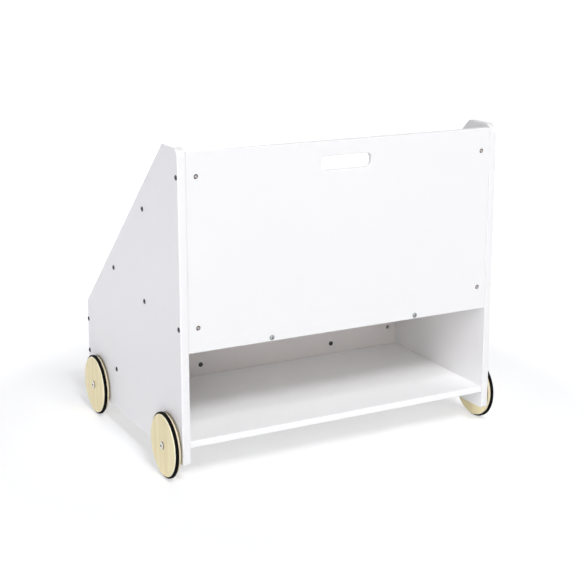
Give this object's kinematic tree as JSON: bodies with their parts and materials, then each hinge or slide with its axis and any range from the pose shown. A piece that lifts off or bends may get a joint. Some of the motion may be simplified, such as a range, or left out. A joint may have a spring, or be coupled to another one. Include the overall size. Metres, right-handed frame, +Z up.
{
  "type": "bookshelf on wheels",
  "caption": "White tiered bookcase on plywood wheels, with stepped book compartments at the front, an open shelf at the rear and a grip slot in the back panel.",
  "frame": {"origin": "on the floor under the middle of the overall box", "axes": "+Z up, +X along the width to the right as seen from in front of the tiers, +Y to the back panel with the grip slot"},
  "size_m": [0.686, 0.4954, 0.599],
  "materials": {
    "lacquer": "satin white lacquer on fibreboard",
    "birch_plywood": "clear lacquered birch plywood",
    "rubber": "matt black rubber",
    "zinc_steel": "zinc plated"
  },
  "bodies": {
    "case": {"side_panel_left": "lacquer", "side_panel_right": "lacquer", "back_panel": "lacquer", "rear_divider": "lacquer", "middle_divider": "lacquer", "front_panel": "lacquer", "upper_floor": "lacquer", "bottom_shelf": "lacquer", "pocket_floor": "lacquer", "back_panel_bolt_left_upper": "zinc_steel", "back_panel_bolt_left_lower": "zinc_steel", "back_panel_bolt_right_upper": "zinc_steel", "back_panel_bolt_right_lower": "zinc_steel", "rear_divider_bolt_left_upper": "zinc_steel", "rear_divider_bolt_left_lower": "zinc_steel", "rear_divider_bolt_right_upper": "zinc_steel", "rear_divider_bolt_right_lower": "zinc_steel", "middle_divider_bolt_left_upper": "zinc_steel", "middle_divider_bolt_left_lower": "zinc_steel", "middle_divider_bolt_right_upper": "zinc_steel", "middle_divider_bolt_right_lower": "zinc_steel", "front_panel_bolt_left_upper": "zinc_steel", "front_panel_bolt_left_lower": "zinc_steel", "front_panel_bolt_right_upper": "zinc_steel", "front_panel_bolt_right_lower": "zinc_steel", "shelf_bolt_left": "zinc_steel", "shelf_bolt_right": "zinc_steel", "barrel_nut_left_upper": "zinc_steel", "barrel_nut_left_lower": "zinc_steel", "barrel_nut_right_upper": "zinc_steel", "barrel_nut_right_lower": "zinc_steel", "back_floor_bolt_left": "zinc_steel", "back_floor_bolt_right": "zinc_steel", "divider_floor_bolt_left": "zinc_steel", "divider_floor_bolt_right": "zinc_steel", "divider_shelf_bolt_left": "zinc_steel", "divider_shelf_bolt_right": "zinc_steel", "divider_pocket_bolt_left": "zinc_steel", "divider_pocket_bolt_right": "zinc_steel", "front_pocket_bolt_left": "zinc_steel", "front_pocket_bolt_right": "zinc_steel", "axle_bolt_rear_left": "zinc_steel", "axle_bolt_rear_right": "zinc_steel", "axle_bolt_front_left": "zinc_steel", "axle_bolt_front_right": "zinc_steel", "axle_washer_rear_left": "zinc_steel", "axle_washer_rear_right": "zinc_steel", "axle_washer_front_left": "zinc_steel", "axle_washer_front_right": "zinc_steel"},
    "rear_left_wheel": {"wheel_rear_left": "birch_plywood", "tyre_rear_left": "rubber"},
    "rear_right_wheel": {"wheel_rear_right": "birch_plywood", "tyre_rear_right": "rubber"},
    "front_left_wheel": {"wheel_front_left": "birch_plywood", "tyre_front_left": "rubber"},
    "front_right_wheel": {"wheel_front_right": "birch_plywood", "tyre_front_right": "rubber"}
  },
  "joints": [
    {"name": "rear_left_roll", "type": "hinge", "parent": "case", "child": "rear_left_wheel", "pos_m": [-0.334, 0.18796, 0.05977], "axis": [1, 0, 0], "continuous": true},
    {"name": "rear_right_roll", "type": "hinge", "parent": "case", "child": "rear_right_wheel", "pos_m": [0.334, 0.18796, 0.05977], "axis": [1, 0, 0], "continuous": true},
    {"name": "front_left_roll", "type": "hinge", "parent": "case", "child": "front_left_wheel", "pos_m": [-0.334, -0.17654, 0.05977], "axis": [1, 0, 0], "continuous": true},
    {"name": "front_right_roll", "type": "hinge", "parent": "case", "child": "front_right_wheel", "pos_m": [0.334, -0.17654, 0.05977], "axis": [1, 0, 0], "continuous": true}
  ]
}
